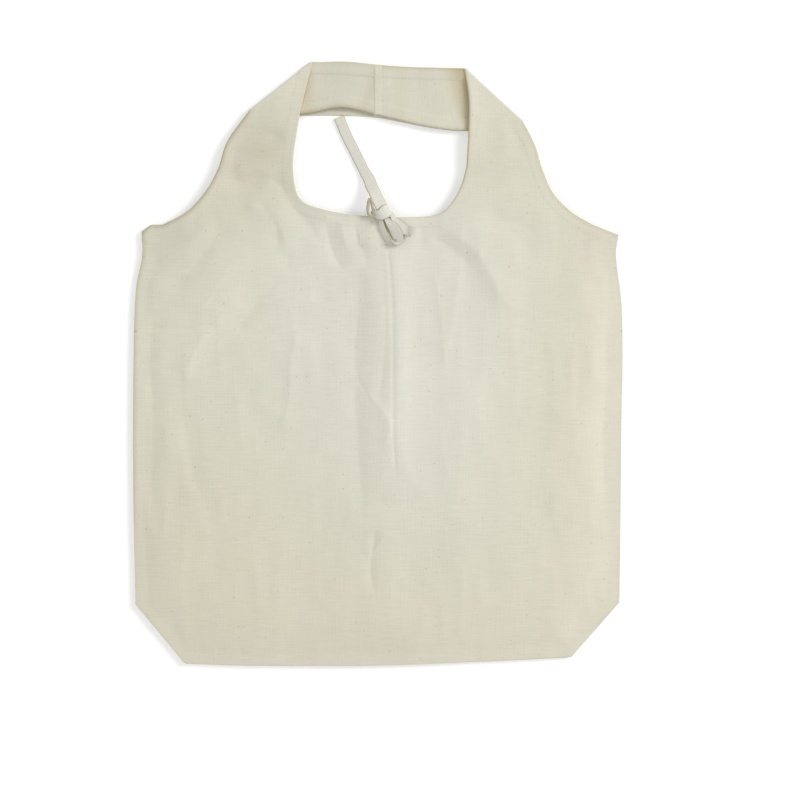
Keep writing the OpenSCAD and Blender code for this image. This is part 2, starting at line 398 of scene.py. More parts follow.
# Creases of the front panel: the line in millimetres, the height of its ridge (a valley is
# negative), and how far the cloth slopes off to its left and to its right.
FRONT_CREASES = [
    # The two creases that the bag is folded in half along, with the slope between them.
    ([(2, 190), (6, 140), (12, 95), (15, 60), (16, 0), (16, -60), (19, -125), (12, -165), (-2, -196)],
     2.6, 17, 24),
    ([(0, 180), (5, 135), (10.5, 92), (13, 55), (14, 0), (14, -60), (17, -125), (10, -165)], -0.8, 3.4, 2),
    ([(3, 118), (6, 75), (7, 25), (3, -20), (-2, -60)], -0.9, 8, 5),
    ([(-15, 76), (-20, 30), (-21, -20), (-19, -70), (-15, -120), (-9, -160)], -1.3, 8, 11),
    ([(-18, -22), (0, -38), (11, -58), (2, -80)], 0.7, 3, 5),
    ([(-20, -10), (-12, -26), (-2, -44)], -0.5, 4, 3),
    ([(-1, -150), (-7, -185), (-3, -214)], -1.3, 4, 5),
    ([(12, -150), (-4, -172), (-12, -180)], 0.6, 4, 5),
    # From the right of the neckline, out and down.
    ([(50, 128), (78, 114), (96, 96), (108, 72), (128, 42)], 2.9, 24, 12),
    ([(48, 116), (70, 104), (84, 88)], -1.2, 8, 8),
    ([(76, 96), (70, 50), (62, 4)], 0.8, 5, 9),
    ([(50, 92), (57, 50), (62, 2)], 0.5, 6, 4),
    ([(100, 150), (124, 120), (150, 96)], -0.7, 12, 10),
    ([(120, 40), (128, -10), (122, -52)], 0.6, 9, 7),
    ([(150, -20), (140, -44), (128, -60)], 0.5, 6, 8),
    ([(176, 60), (186, 10), (180, -60)], -0.6, 12, 10),
    # Gathers under the neckline, on both sides of the tie.
    ([(-47, 134), (-46, 118), (-40, 98), (-30, 84)], -1.5, 8, 5),
    ([(-34, 133), (-32, 118), (-27, 104)], 0.7, 5, 5),
    ([(-22, 131), (-19, 116), (-13, 100), (-10, 84)], -1.1, 6, 6),
    ([(-70, 140), (-60, 122), (-50, 104)], -1.2, 10, 7),
    ([(38, 129), (41, 116), (37, 100)], -0.6, 6, 6),
    ([(0, 104), (-30, 84), (-64, 66), (-98, 48)], 0.9, 9, 7),
    ([(-8, 92), (-36, 70), (-62, 56)], -0.6, 6, 7),
    # From the left of the neckline over the shoulder.
    ([(-148, 174), (-122, 166), (-98, 170), (-78, 146), (-62, 118)], -2.2, 10, 9),
    ([(-128, 146), (-104, 140), (-88, 122), (-84, 96)], 1.7, 11, 9),
    ([(-112, 150), (-94, 128), (-92, 104)], -1.2, 6, 7),
    ([(-190, 60), (-158, 104), (-134, 132)], -1.7, 12, 10),
    ([(-206, 92), (-176, 108), (-148, 136)], 1.2, 9, 8),
    ([(-170, 36), (-140, 84), (-108, 108)], 1.1, 12, 10),
    ([(-132, 20), (-110, 58), (-82, 82)], -1.1, 10, 9),
    # Smaller ones over the left half.
    ([(-150, 38), (-166, 16), (-175, -8), (-178, -22)], 1.2, 5, 9),
    ([(-70, 40), (-80, 4), (-82, -34), (-92, -70)], 0.8, 8, 4),
    ([(-60, 30), (-64, 0), (-58, -36)], 0.4, 7, 6),
    ([(-182, 0), (-178, -50), (-170, -100), (-150, -150)], -0.9, 11, 9),
    ([(-130, -20), (-126, -60), (-120, -100)], 0.4, 8, 7),
    ([(-20, -100), (-60, -124), (-100, -146)], 0.5, 9, 7),
    ([(-216, 33), (-180, 32), (-146, 35)], -0.7, 3, 3),
    ([(-206, 60), (-209, 0), (-207, -70), (-210, -150)], -1.0, 8, 7),
    ([(-198, -20), (-192, -90), (-198, -170)], 0.4, 10, 10),
    # Along the right side.
    ([(208, 70), (210, 0), (207, -70), (210, -140)], -1.0, 9, 7),
    ([(150, 120), (120, 130), (96, 128)], -0.8, 8, 12),
    ([(60, -110), (64, -160), (58, -210)], -0.4, 10, 9),
]
LEG_CREASES = [
    ([(-142, 188), (-128, 204), (-104, 212), (-82, 204)], -2.0, 6, 14),
    ([(-134, 178), (-112, 180), (-94, 168)], 1.3, 8, 10),
    ([(-100, 228), (-88, 246), (-72, 262)], 0.6, 8, 8),
    ([(110, 176), (118, 205), (112, 235)], 0.6, 9, 12),
    ([(96, 176), (93, 205), (96, 236)], 0.7, 6, 8),
    ([(132, 186), (128, 206), (118, 228)], -0.6, 7, 7),
    ([(83, 176), (82, 225), (80, 268)], 1.7, 4, 9),
    ([(-72, 225), (-66, 250), (-62, 272)], 0.9, 8, 4),
]
BACK_CREASES = [
    ([(10, 100), (12, 20), (8, -70), (12, -160)], -0.25, 6, 6),
]

# Heights of the cloth's middle above the surface.
FRONT_Z = 8.2 * MM
EDGE_Z = 1.9 * MM
BACK_Z = 0.35 * MM
LEG_END_Z = {"front": 5.5 * MM, "back": 2.2 * MM}
LEG_FLAT_Y = {"front": 262 * MM, "back": 212 * MM}  # where a leg has come down, or up, to its end's height

LEG_START_Y = 155 * MM  # where a leg begins to come away from the panel's own height
BOW_REST = ((14, 120), (17, 15))  # middle and reach of the place the bow lies on, in millimetres
BOW_REST_Z = 8.4 * MM
FOLD_ROOM = 0.5 * MM  # from the cloth's middle up to the axis of the bottom's fold
FOLD_ROOM_SLOPE = 0.06  # by which the cloth may stand higher away from that fold
LEG_LOW_Z = 4.6 * MM  # under which the front legs' valleys flatten out, over the back ones


def crease_height(p, creases):
    total = np.zeros(len(p))
    for points, height, left, right in creases:
        line = curve(np.array(points, float) * MM, 4 * MM)
        reach = 3 * max(left, right) * MM
        near = ((p > line.min(0) - reach) & (p < line.max(0) + reach)).all(1)
        if not near.any():
            continue
        d, share, side = to_line(p[near], line)
        width = np.where(side > 0, left, right) * MM
        ends = smoothstep(share, 0.0, 0.22) * smoothstep(1 - share, 0.0, 0.22)
        total[near] += height * MM * np.exp(-(d / width)**1.5) * ends
    return total


def front_height(p, closed):
    """Height of the front panel over the plan point p, its legs included."""
    d = from_line(p, closed)
    puff = 1 - (1 - np.clip(d / (52 * MM), 0, 1))**2.3
    z = EDGE_Z + (FRONT_Z - EDGE_Z) * puff
    z += 0.9 * MM * lattice_noise(p, (70 * MM, 110 * MM), 3) * puff
    z += 0.55 * MM * lattice_noise(p, (24 * MM, 60 * MM), 5) * puff
    turned = np.stack([p[:, 0] * 0.8 - p[:, 1] * 0.6, p[:, 0] * 0.6 + p[:, 1] * 0.8], axis=1)
    upper_left = smoothstep(p[:, 1] - p[:, 0] * 0.4, 0, 110 * MM)
    z += 0.5 * MM * lattice_noise(turned, (16 * MM, 46 * MM), 12) * upper_left * puff
    z += 0.3 * MM * (1 - 2 * np.abs(lattice_noise(p, (17 * MM, 34 * MM), 8)))
    z += 0.35 * MM * lattice_noise(p, (9 * MM, 30 * MM), 9) * np.exp(-d / (22 * MM))
    (x0, y0), (x1, y1) = PATCH
    x, y = p[:, 0] / MM, p[:, 1] / MM
    over = smoothstep(x, x0 - 0.8, x0 + 0.8) * smoothstep(-x, -x1 - 0.8, 0.8 - x1)
    over *= smoothstep(y, y0 - 0.8, y0 + 0.8) * smoothstep(-y, -y1 - 0.8, 0.8 - y1)
    return z + 0.55 * MM * over


def leg_height(p, which):
    """Height of a leg over the plan point p, where it has left the panel."""
    share = np.clip((p[:, 1] - LEG_START_Y) / (LEG_FLAT_Y[which] - LEG_START_Y), 0, 1)
    start = FRONT_Z if which == "front" else BACK_Z
    return start + (LEG_END_Z[which] - start) * share


def with_room(p, z):
    """Height z of the front cloth over the plan points p, kept under the bow and under the bottom's fold."""
    (x0, y0), (across, along) = BOW_REST
    under = np.exp(-((p[:, 0] / MM - x0) / across)**4 - ((p[:, 1] / MM - y0) / along)**4)
    z = z - under * np.maximum(z - BOW_REST_Z, 0)
    fold = joint("bottom_fold")["pos_m"]
    return np.minimum(z, fold[2] - FOLD_ROOM + FOLD_ROOM_SLOPE * np.abs(p[:, 1] - fold[1]))


class Cloth:
    """A panel as it lies: the flat cut, its triangles and the middle of the cloth in space."""

    def __init__(self, which, creases):
        self.which = which
        self.pattern = Pattern(which)
        self.flat, self.tris = self.pattern.mesh(creases)
        self.middle = self.lie(self.flat)
        self.normal = vertex_normals(self.middle, self.tris)
        self.tree = BVHTree.FromPolygons(
            [(x, y, 0.0) for x, y in self.flat], [tuple(map(int, t)) for t in self.tris])

    def lie(self, flat):
        front = self.which == "front"
        plan = flat.copy()
        drop = np.zeros(len(flat))
        turned = np.zeros(len(flat))
        for side in FOLDS:
            s, n = past_fold(flat, side)
            over = (s > 0) & (flat[:, 0] * side > 0) & (flat[:, 1] > 190 * MM)
            out = np.where(s < TURN, FOLD_R * np.sin(s / FOLD_R), TURN - s)
            down = np.where(s < TURN, FOLD_R * (1 - np.cos(s / FOLD_R)), 2 * FOLD_R)
            plan[over] = (flat - s[:, None] * n + out[:, None] * n)[over]
            drop[over] = down[over]
            turned[over] = np.clip((s[over] - TURN) / (10 * MM), 0, 1)
        if front:
            low = front_height(plan, self.pattern.closed)
            rise = smoothstep(plan[:, 1], 118 * MM, 175 * MM) * (np.abs(plan[:, 0]) < 170 * MM)
            wave = 0.5 * MM * lattice_noise(plan, (30 * MM, 45 * MM), 21)
            z = low * (1 - rise) + (leg_height(plan, "front") + wave) * rise
            z += crease_height(plan, FRONT_CREASES + LEG_CREASES) * (turned == 0)
            z = np.maximum(z, LEG_LOW_Z + 0.3 * (z - LEG_LOW_Z))
            z = with_room(plan, z)
        else:
            d = from_line(plan, self.pattern.closed)
            rise = smoothstep(plan[:, 1], 150 * MM, 185 * MM)
            z = BACK_Z + 0.5 * MM * np.exp(-d / (6 * MM))
            z = z * (1 - rise) + leg_height(plan, "back") * rise
        z = z - drop
        if front:
            z += turned * self.band_shape(plan)
        else:
            z += turned * 0.15 * MM * lattice_noise(plan, (25 * MM, 25 * MM), 31)
        return np.column_stack([plan, z])

    def band_shape(self, plan):
        """The front band's own waves: its lower edge lifts on the left and it dips under the right leg."""
        x, y = plan[:, 0] / MM, plan[:, 1] / MM
        wave = 0.5 * np.sin(x / 9 + 0.6) * np.exp(-((x - 15) / 30)**2)
        wave += 0.9 * np.exp(-((x + 34) / 26)**2 - ((y - 234) / 9)**2)
        wave -= 0.9 * np.exp(-((x - 72) / 12)**2)
        wave -= 0.5 * np.exp(-((x + 10 - (y - 250) * 0.5) / 7)**2)
        wave += 0.35 * lattice_noise(plan, (16 * MM, 30 * MM), 41)
        return wave * MM

    def at(self, flat, height):
        """The points in space over flat points of the cut, height above the cloth's middle on its
        upper side, and the normals there."""
        out, normals = [], []
        high = np.broadcast_to(height, len(flat))
        for q, h in zip(flat, high):
            _, _, k, _ = self.tree.find_nearest((q[0], q[1], 0.0))
            t = self.tris[k]
            a, b, c = self.flat[t]
            m = np.array([b - a, c - a]).T
            u, v = np.linalg.solve(m, q - a)
            w = np.array([1 - u - v, u, v])
            n = unit(w @ self.normal[t])
            out.append(w @ self.middle[t] + n * h)
            normals.append(n)
        return np.array(out), np.array(normals)


def vertex_normals(verts, tris):
    a, b, c = verts[tris[:, 0]], verts[tris[:, 1]], verts[tris[:, 2]]
    face = np.cross(b - a, c - a)
    total = np.zeros_like(verts)
    for k in range(3):
        np.add.at(total, tris[:, k], face)
    return unit(total)


# ---------------------------------------------------------------- materials

def node(tree, kind, **settings):
    made = tree.nodes.new(kind)
    for key, value in settings.items():
        setattr(made, key, value)
    return made


def scaled_flat(tree, scale):
    """The cut's own coordinates, in metres, times scale."""
    attribute = node(tree, "ShaderNodeAttribute", attribute_name="flat")
    mapping = node(tree, "ShaderNodeMapping")
    mapping.inputs["Scale"].default_value = scale
    tree.links.new(attribute.outputs["Vector"], mapping.inputs["Vector"])
    return mapping.outputs["Vector"]


def noise(tree, scale, detail=2.0, rough=0.5):
    made = node(tree, "ShaderNodeTexNoise")
    made.inputs["Scale"].default_value = 1.0
    made.inputs["Detail"].default_value = detail
    made.inputs["Roughness"].default_value = rough
    tree.links.new(scaled_flat(tree, scale), made.inputs["Vector"])
    return made.outputs["Fac"]


WAVE_SCALE = 0.314159  # a wave texture's scale times the length of one of its waves


def threads(tree, axis, pitch):
    """Parallel threads across the cloth, as a wave from 0 to 1."""
    made = node(tree, "ShaderNodeTexWave", wave_type="BANDS", bands_direction=axis, wave_profile="SIN")
    made.inputs["Scale"].default_value = WAVE_SCALE / pitch
    made.inputs["Distortion"].default_value = 0.0
    attribute = node(tree, "ShaderNodeAttribute", attribute_name="flat")
    tree.links.new(attribute.outputs["Vector"], made.inputs["Vector"])
    return made.outputs["Fac"]


def math_node(tree, operation, a, b=None, clamp=False):
    made = node(tree, "ShaderNodeMath", operation=operation, use_clamp=clamp)
    for k, value in enumerate((a, b)):
        if value is None:
            continue
        if isinstance(value, (int, float)):
            made.inputs[k].default_value = value
        else:
            tree.links.new(value, made.inputs[k])
    return made.outputs[0]


def mix_colour(tree, fac, a, b, blend_type="MIX"):
    made = node(tree, "ShaderNodeMix", data_type="RGBA", blend_type=blend_type)
    for socket, value in (("Factor", fac), ("A", a), ("B", b)):
        kind = "VALUE" if socket == "Factor" else "RGBA"
        target = next(s for s in made.inputs if s.name == socket and s.type == kind)
        if isinstance(value, (int, float)):
            target.default_value = value
        elif isinstance(value, tuple):
            target.default_value = value + (1,)
        else:
            tree.links.new(value, target)
    return next(s for s in made.outputs if s.type == "RGBA")


def cotton(name, colour, dark, bump=0.3, tone=True, specks=0.35):
    """Unbleached plain-weave cotton: two sets of uneven threads, slubs, small seed specks and the
    cloth's tone attribute, which carries its colour and painted shade."""
    mat = bpy.data.materials.new(name)
    mat.use_nodes = True
    tree = mat.node_tree
    shader = tree.nodes["Principled BSDF"]
    shader.inputs["Roughness"].default_value = 0.88
    shader.inputs["Specular IOR Level"].default_value = 0.18
    shader.inputs["Sheen Weight"].default_value = 0.12
    shader.inputs["Sheen Roughness"].default_value = 0.6
    warp = noise(tree, (900, 36, 1), 1.5)
    weft = noise(tree, (36, 900, 1), 1.5)
    slub = noise(tree, (60, 620, 1), 3.0, 0.7)
    cloud = noise(tree, (14, 10, 1), 3.0)
    speck = noise(tree, (420, 300, 1), 0.0)
    yarn = math_node(tree, "ADD", warp, weft)
    shade = math_node(tree, "MULTIPLY_ADD", yarn, 0.07)
    shade.node.inputs[2].default_value = 0.93
    cloudy = math_node(tree, "MULTIPLY_ADD", cloud, 0.10)
    cloudy.node.inputs[2].default_value = 0.95
    light = math_node(tree, "MULTIPLY", shade, cloudy)
    base = mix_colour(tree, slub, tuple(colour), tuple(dark))
    fleck = math_node(tree, "GREATER_THAN", speck, 0.815)
    fleck = math_node(tree, "MULTIPLY", fleck, specks)
    base = mix_colour(tree, fleck, base, (0.42, 0.33, 0.20))
    if tone:
        attribute = node(tree, "ShaderNodeAttribute", attribute_name="tone")
        base = mix_colour(tree, 1.0, base, attribute.outputs["Color"], "MULTIPLY")
    grey = node(tree, "ShaderNodeCombineColor")
    for k in range(3):
        tree.links.new(light, grey.inputs[k])
    base = mix_colour(tree, 1.0, base, grey.outputs[0], "MULTIPLY")
    tree.links.new(base, shader.inputs["Base Color"])
    pitch = 0.75 * MM
    weave = math_node(tree, "MULTIPLY", threads(tree, "X", pitch), threads(tree, "Y", pitch))
    relief = math_node(tree, "ADD", weave, math_node(tree, "MULTIPLY", yarn, 1.4))
    relief = math_node(tree, "ADD", relief, slub)
    bumps = node(tree, "ShaderNodeBump")
    bumps.inputs["Strength"].default_value = bump
    bumps.inputs["Distance"].default_value = 0.35 * MM
    tree.links.new(relief, bumps.inputs["Height"])
    tree.links.new(bumps.outputs["Normal"], shader.inputs["Normal"])
    return mat


def linear(*srgb):
    """sRGB from 0 to 255 as linear numbers."""
    return tuple((c / 255 / 12.92) if c <= 10 else ((c / 255 + 0.055) / 1.055)**2.4 for c in srgb)


# ---------------------------------------------------------------- meshes

def new_object(name, verts, faces, material, smooth=True):
    mesh = bpy.data.meshes.new(name)
    mesh.from_pydata([tuple(map(float, v)) for v in verts], [], [tuple(map(int, f)) for f in faces])
    mesh.polygons.foreach_set("use_smooth", [smooth] * len(mesh.polygons))
    mesh.materials.append(material)
    made = bpy.data.objects.new(name, mesh)
    bpy.context.collection.objects.link(made)
    return made


def set_attribute(obj, name, values, kind="FLOAT_VECTOR"):
    attribute = obj.data.attributes.new(name, kind, "POINT")
    key = "color" if kind == "FLOAT_COLOR" else "vector"
    attribute.data.foreach_set(key, np.asarray(values, np.float32).ravel())


def colour_and_painted_shade_of(cloth):
    """Colour over the cut, partly the cloth's own and partly painted shade and light: paler and cooler in
    the middle, warmer low down, lighter along the left side, with painted shade on the legs, at the upper
    corners and along the edges, a painted highlight and painted shade either side of the middle crease,
    and the band's painted shade."""
    p = cloth.flat / MM
    x, y = p[:, 0], p[:, 1]
    tone = np.ones((len(p), 3))

    def patch(cx, cy, wx, wy, colour, share=1.0):
        w = np.exp(-((x - cx) / wx)**2 - ((y - cy) / wy)**2)[:, None] * share
        tone[:] = tone * (1 - w) + tone * np.array(colour) * w

    if cloth.which == "front":
        patch(20, 30, 110, 150, (1.035, 1.055, 1.095))
        patch(-215, -20, 25, 160, (1.03, 1.03, 1.02))
        patch(-170, -180, 110, 110, (0.985, 0.965, 0.93))
        patch(0, -250, 200, 70, (0.99, 0.97, 0.945))
        patch(190, -60, 70, 170, (1.02, 1.0, 0.98))
        # Painted shade on the left leg between its creases, over the left shoulder, on the right leg and at both upper
        # corners.
        patch(-110, 195, 50, 50, (0.90, 0.885, 0.855))
        patch(-110, 192, 18, 13, (0.965, 0.95, 0.925))
        patch(-150, 140, 60, 30, (0.975, 0.965, 0.955))
        patch(120, 190, 50, 60, (0.965, 0.955, 0.94))
        patch(204, 116, 40, 40, (0.945, 0.93, 0.93))
        patch(-205, 114, 32, 32, (0.95, 0.945, 0.945))
        # Painted highlight to the right of the middle crease and painted shade to its left.
        patch(24, 0, 9, 115, (1.03, 1.045, 1.05))
        patch(-3, 10, 15, 110, (0.975, 0.975, 0.955))
        # The band's painted shade.
        tone *= band_shade(cloth)
        # Painted shade along the free edges: the outer edge of the left leg, the right armhole, and the inner edges
        # and neckline, strongest at the right leg's inner edge.
        edges = ((0, 2.2, (0.80, 0.76, 0.66)), (1, 1.2, (0.86, 0.82, 0.74)), (2, 1.3, (0.86, 0.80, 0.68)))
        for k, reach, colour in edges:
            near = np.exp(-(from_line(cloth.flat, cloth.pattern.free[k]) / (reach * MM))**2)
            if k == 2:
                near *= 0.4 + 0.6 * smoothstep(x, 40, 70) * smoothstep(y, 150, 170)
            tone *= 1 - near[:, None] * (1 - np.array(colour))
        # Painted shade along the left side, fading out towards the bottom, and along the right side.
        side = from_line(cloth.flat, cloth.pattern.closed)
        left = np.exp(-(side / (2.2 * MM))**2) * (x < -200) * smoothstep(y, -190, -100)
        right = np.exp(-(side / (1.1 * MM))**2) * (x > 200)
        tone *= 1 - left[:, None] * (1 - np.array((0.84, 0.82, 0.75)))
        tone *= 1 - right[:, None] * (1 - np.array((0.92, 0.92, 0.92)))
        # Painted shade along the lower edge of the patch inside the neckline, broken round the tie.
        patch_edge_shade = np.exp(-((y - PATCH[0][1]) / 1.0)**2) * (np.abs(x - 3) < 20) * (np.abs(x - 1) > 6)
        tone *= 1 - patch_edge_shade[:, None] * (1 - np.array((0.93, 0.88, 0.78)))
    return tone


def band_shade(cloth):
    """Painted shade on the band: brown and dark where it runs into the right leg's shadow, a little darker all over,
    and paler painted shadows across it.
    """
    x, y = cloth.middle[:, 0] / MM, cloth.middle[:, 1] / MM
    band = past_either_fold(cloth.flat)
    shade = 1 - 0.03 * np.repeat(band[:, None], 3, axis=1)
    for centre, width, colour in (
            (84, 3.5 + 0.30 * np.clip(y - 214, 0, None), (0.80, 0.72, 0.56)),
            (-66, 7, (0.93, 0.89, 0.81)),
            (-30, 24, (0.94, 0.945, 0.94)),
            (-8 + (y - 250) * 0.3, 6, (0.955, 0.955, 0.93)),
            (21, 7, (0.95, 0.95, 0.92))):
        w = np.exp(-(np.abs(x - centre) / width)**2.4) * band
        shade *= 1 - w[:, None] * (1 - np.array(colour))
    return shade


def past_either_fold(flat):
    """1 where the cut lies past a strap's fold, on the band."""
    over = np.zeros(len(flat))
    for side in FOLDS:
        s, _ = past_fold(flat, side)
        over[(s > TURN / 2) & (flat[:, 0] * side > 0) & (flat[:, 1] > 190 * MM)] = 1
    return over


def cloth_solid(cloth):
    """Both faces of a panel and its rounded edges, as one closed mesh: vertices, flat coordinates,
    tone and the loop of vertices round its edge."""
    outer = 1 if cloth.which == "front" else -1
    edge = np.min([from_line(cloth.flat, f) for f in cloth.pattern.free], axis=0)
    in_hem = 1 - smoothstep(edge, 9.6 * MM, 10.8 * MM)
    groove = np.exp(-((edge - STITCH_IN) / (0.55 * MM))**2)
    out_t = CLOTH / 2 + (0.16 * in_hem - 0.24 * groove) * MM
    in_t = CLOTH / 2 + (0.75 * in_hem - 0.30 * groove) * MM
    up_t, low_t = (out_t, in_t) if outer > 0 else (in_t, out_t)
    if cloth.which == "back":
        low_t = np.minimum(low_t, np.maximum(cloth.middle[:, 2] - 0.02 * MM, CLOTH / 4))
    top = cloth.middle + cloth.normal * up_t[:, None]
    low = cloth.middle - cloth.normal * low_t[:, None]
    loop = boundary_loop(cloth.tris)
    ring = cloth.middle[loop]
    tangent = unit(np.roll(ring, -1, axis=0) - np.roll(ring, 1, axis=0))
    out = unit(np.cross(tangent, cloth.normal[loop]))
    round_out = (up_t + low_t)[loop] * 0.45
    rim = (top[loop] + low[loop]) / 2 + out * round_out[:, None]
    flat3 = np.column_stack([cloth.flat, np.zeros(len(top))])
    tone = colour_and_painted_shade_of(cloth)
    flat = np.vstack([flat3, flat3 + [0.37, 0.11, 0], flat3[loop]])
    return np.vstack([top, low, rim]), flat, np.vstack([tone, tone, tone[loop]]), loop


def boundary_loop(tris):
    """The outer edge of the triangles as a loop of vertex numbers, going round it to the left."""
    seen = {}
    for t in tris:
        for k in range(3):
            a, b = int(t[k]), int(t[(k + 1) % 3])
            if (b, a) in seen:
                del seen[(b, a)]
            else:
                seen[(a, b)] = True
    after = dict(seen.keys())
    start = next(iter(after))
    loop, k = [start], after[start]
    while k != start:
        loop.append(k)
        k = after[k]
    return np.array(loop)


def face_normals_sum(verts, faces):
    total = np.zeros_like(verts)
    for f in faces:
        p = verts[list(f)]
        face = np.cross(p[1] - p[0], p[2] - p[0])
        if len(f) == 4:
            face = face + np.cross(p[2] - p[0], p[3] - p[0])
        for k in f:
            total[k] += face
    return unit(total)


def cloth_pieces(cloth, material, names):
    """The panel as two closed pieces that meet at SPLIT_Y with the same normals, so that the joint doesn't show."""
    verts, flat, tone, loop = cloth_solid(cloth)
    n = len(cloth.flat)
    place = {int(v): i for i, v in enumerate(loop)}
    high = cloth.flat[cloth.tris][:, :, 1].mean(1) > SPLIT_Y
    owner = {}
    for t, k in zip(cloth.tris, high):
        for a, b in ((t[0], t[1]), (t[1], t[2]), (t[2], t[0])):
            owner[int(a), int(b)] = k
    both, walls = {True: [], False: []}, {True: [], False: []}
    for t, k in zip(cloth.tris, high):
        both[k] += [tuple(t), tuple(t[::-1] + n)]
    for (a, b), k in owner.items():
        other = owner.get((b, a))
        if other is None:
            i, j = 2 * n + place[a], 2 * n + place[b]
            both[k] += [(b, a, i, j), (j, i, a + n, b + n)]
        elif other != k:
            walls[k].append((b, a, a + n, b + n))
            for v in (a, b):
                if v in place:
                    corner = (v, v + n, 2 * n + place[v])
                    walls[k].append(corner if v == a else corner[::-1])
    normals = face_normals_sum(verts, both[True] + both[False])
    made = []
    for name, k in ((names[0], True), (names[1], False)):
        chosen = both[k] + walls[k]
        used = sorted({int(v) for f in chosen for v in f})
        number = {v: i for i, v in enumerate(used)}
        obj = new_object(name, verts[used], [tuple(number[int(v)] for v in f) for f in chosen], material)
        set_attribute(obj, "flat", flat[used])
        set_attribute(obj, "tone", np.column_stack([tone[used], np.ones(len(used))]), "FLOAT_COLOR")
        own = normals[used]
        corner = []
        for i, poly in enumerate(obj.data.polygons):
            straight = tuple(poly.normal)
            corner += [tuple(own[v]) if i < len(both[k]) else straight for v in poly.vertices]
        obj.data.normals_split_custom_set(corner)
        made.append(obj)
    return made


# ---------------------------------------------------------------- the tie

TAIL_ROUTE = [(0.004, 0.142, 0.0138), (-0.0005, 0.151, 0.0118), (-0.003, 0.157, 0.009), (-0.006, 0.163, 0.0056),
              (-0.008, 0.169, 0.0032), (-0.012, 0.176, 0.0018), (-0.016, 0.184, 0.0013), (-0.020, 0.192, 0.0012),
              (-0.024, 0.200, 0.0012), (-0.028, 0.208, 0.0012), (-0.032, 0.217, 0.0012), (-0.036, 0.227, 0.0012)]


EDGE_PAINTED_SHADE = (0.74, 0.68, 0.55)  # painted shade on the creased edges of a folded strip


def ribbon(name, route, widths, thick, ups, material, step=1.0 * MM, shade=1.0):
    """A folded strip of cloth with rounded edges, along a smooth route; ups are its face normals at
    the route's points."""
    route = np.asarray(route, float)
    both = curve(np.column_stack([route, np.asarray(ups, float), np.asarray(widths, float)]), None, 10)
    s = np.concatenate([[0], np.cumsum(np.linalg.norm(np.diff(both[:, :3], axis=0), axis=1))])
    t = np.linspace(0, s[-1], max(8, int(s[-1] / step)))
    both = np.stack([np.interp(t, s, both[:, k]) for k in range(both.shape[1])], axis=1)
    p, up, w = both[:, :3], unit(both[:, 3:6]), both[:, 6]
    along = unit(np.gradient(p, axis=0))
    across = unit(np.cross(along, up))
    up = np.cross(across, along)
    section = [(-0.5, 0), (-0.47, 0.36), (-0.40, 0.5), (-0.2, 0.47), (0, 0.44), (0.2, 0.47), (0.40, 0.5), (0.47, 0.36),
               (0.5, 0), (0.47, -0.36), (0.40, -0.5), (0.2, -0.47), (0, -0.44), (-0.2, -0.47),
               (-0.40, -0.5), (-0.47, -0.36)]
    n = len(section)
    verts, flat, tone = [], [], []
    for i in range(len(p)):
        for a, b in section:
            verts.append(p[i] + across[i] * a * w[i] + up[i] * b * thick)
            flat.append((a * w[i] + (0.05 if b < 0 else 0), t[i], 0))
            # The strip's edges and, by shade, the whole strip are darkened as painted shade.
            colour = EDGE_PAINTED_SHADE if abs(a) > 0.45 else (1.0, 1.0, 1.0)
            tone.append([c * shade for c in colour] + [1.0])
    faces = [(i * n + k, (i + 1) * n + k, (i + 1) * n + (k + 1) % n, i * n + (k + 1) % n)
             for i in range(len(p) - 1) for k in range(n)]
    faces.append(tuple(range(n)))
    faces.append(tuple((len(p) - 1) * n + k for k in range(n))[::-1])
    obj = new_object(name, verts, faces, material)
    set_attribute(obj, "flat", flat)
    set_attribute(obj, "tone", tone, "FLOAT_COLOR")
    return obj, p


BOW_ROUTE = [(0.0015, 0.135, 0.0122), (0.003, 0.129, 0.0120), (0.0055, 0.121, 0.0117), (0.009, 0.114, 0.0113),
             (0.0145, 0.1105, 0.0108), (0.0185, 0.1125, 0.0104), (0.0175, 0.118, 0.0104), (0.0140, 0.125, 0.0109),
             (0.0095, 0.131, 0.0122), (0.0075, 0.135, 0.0132), (0.0095, 0.1385, 0.0138), (0.0125, 0.1365, 0.0134),
             (0.0145, 0.1325, 0.0122), (0.0180, 0.1295, 0.0110), (0.0215, 0.1260, 0.0105), (0.0250, 0.1225, 0.0105),
             (0.0280, 0.1208, 0.0113), (0.0305, 0.1206, 0.0132)]
BOW_UPS = [(-0.4, -0.1, 0.9), (-0.4, -0.1, 0.9), (-0.42, -0.15, 0.88), (-0.4, -0.5, 0.7),
           (0.1, -0.95, -0.3), (0.4, -0.2, -0.9), (0.25, 0.1, -0.97), (0.2, 0.1, -0.97),
           (-0.1, 0.2, -0.97), (-0.8, 0.2, -0.5), (-0.2, 0.9, 0.4), (0.3, 0.3, 0.9),
           (0.12, 0.12, 1), (0, 0, 1), (0, 0, 1), (-0.05, 0.05, 1), (-0.45, 0.1, 0.9), (-0.85, 0.2, 0.5)]
BOW_WIDTHS = np.array([4.4, 4.8, 5.0, 6.5, 9, 10.5, 11.5, 10, 7, 5, 4.5, 4.6, 5, 5.8, 7.5, 9, 9.2, 9]) * MM
WRAP_ROUTE = [(-4.4, 137.0, 8.8), (-3.6, 136.9, 12.2), (-0.8, 136.1, 15.2), (2.4, 135.9, 16.6), (5.8, 137.8, 16.5),
              (8.4, 140.0, 14.6), (9.8, 141.0, 11.4), (9.6, 140.8, 8.7)]
WRAP_WIDTHS = np.array([6.5, 7, 8.5, 10.5, 11.8, 12, 11.2, 10]) * MM
LOOP_ROUTE = [(-2.5, 135.8, 11.6), (-7.0, 134.9, 11.3), (-9.0, 138.5, 11), (-9.1, 144, 10.7), (-7.9, 150.2, 10.3),
              (-6.2, 149.4, 10.5), (-5.1, 143.5, 10.9), (-2.6, 138.0, 11.6)]
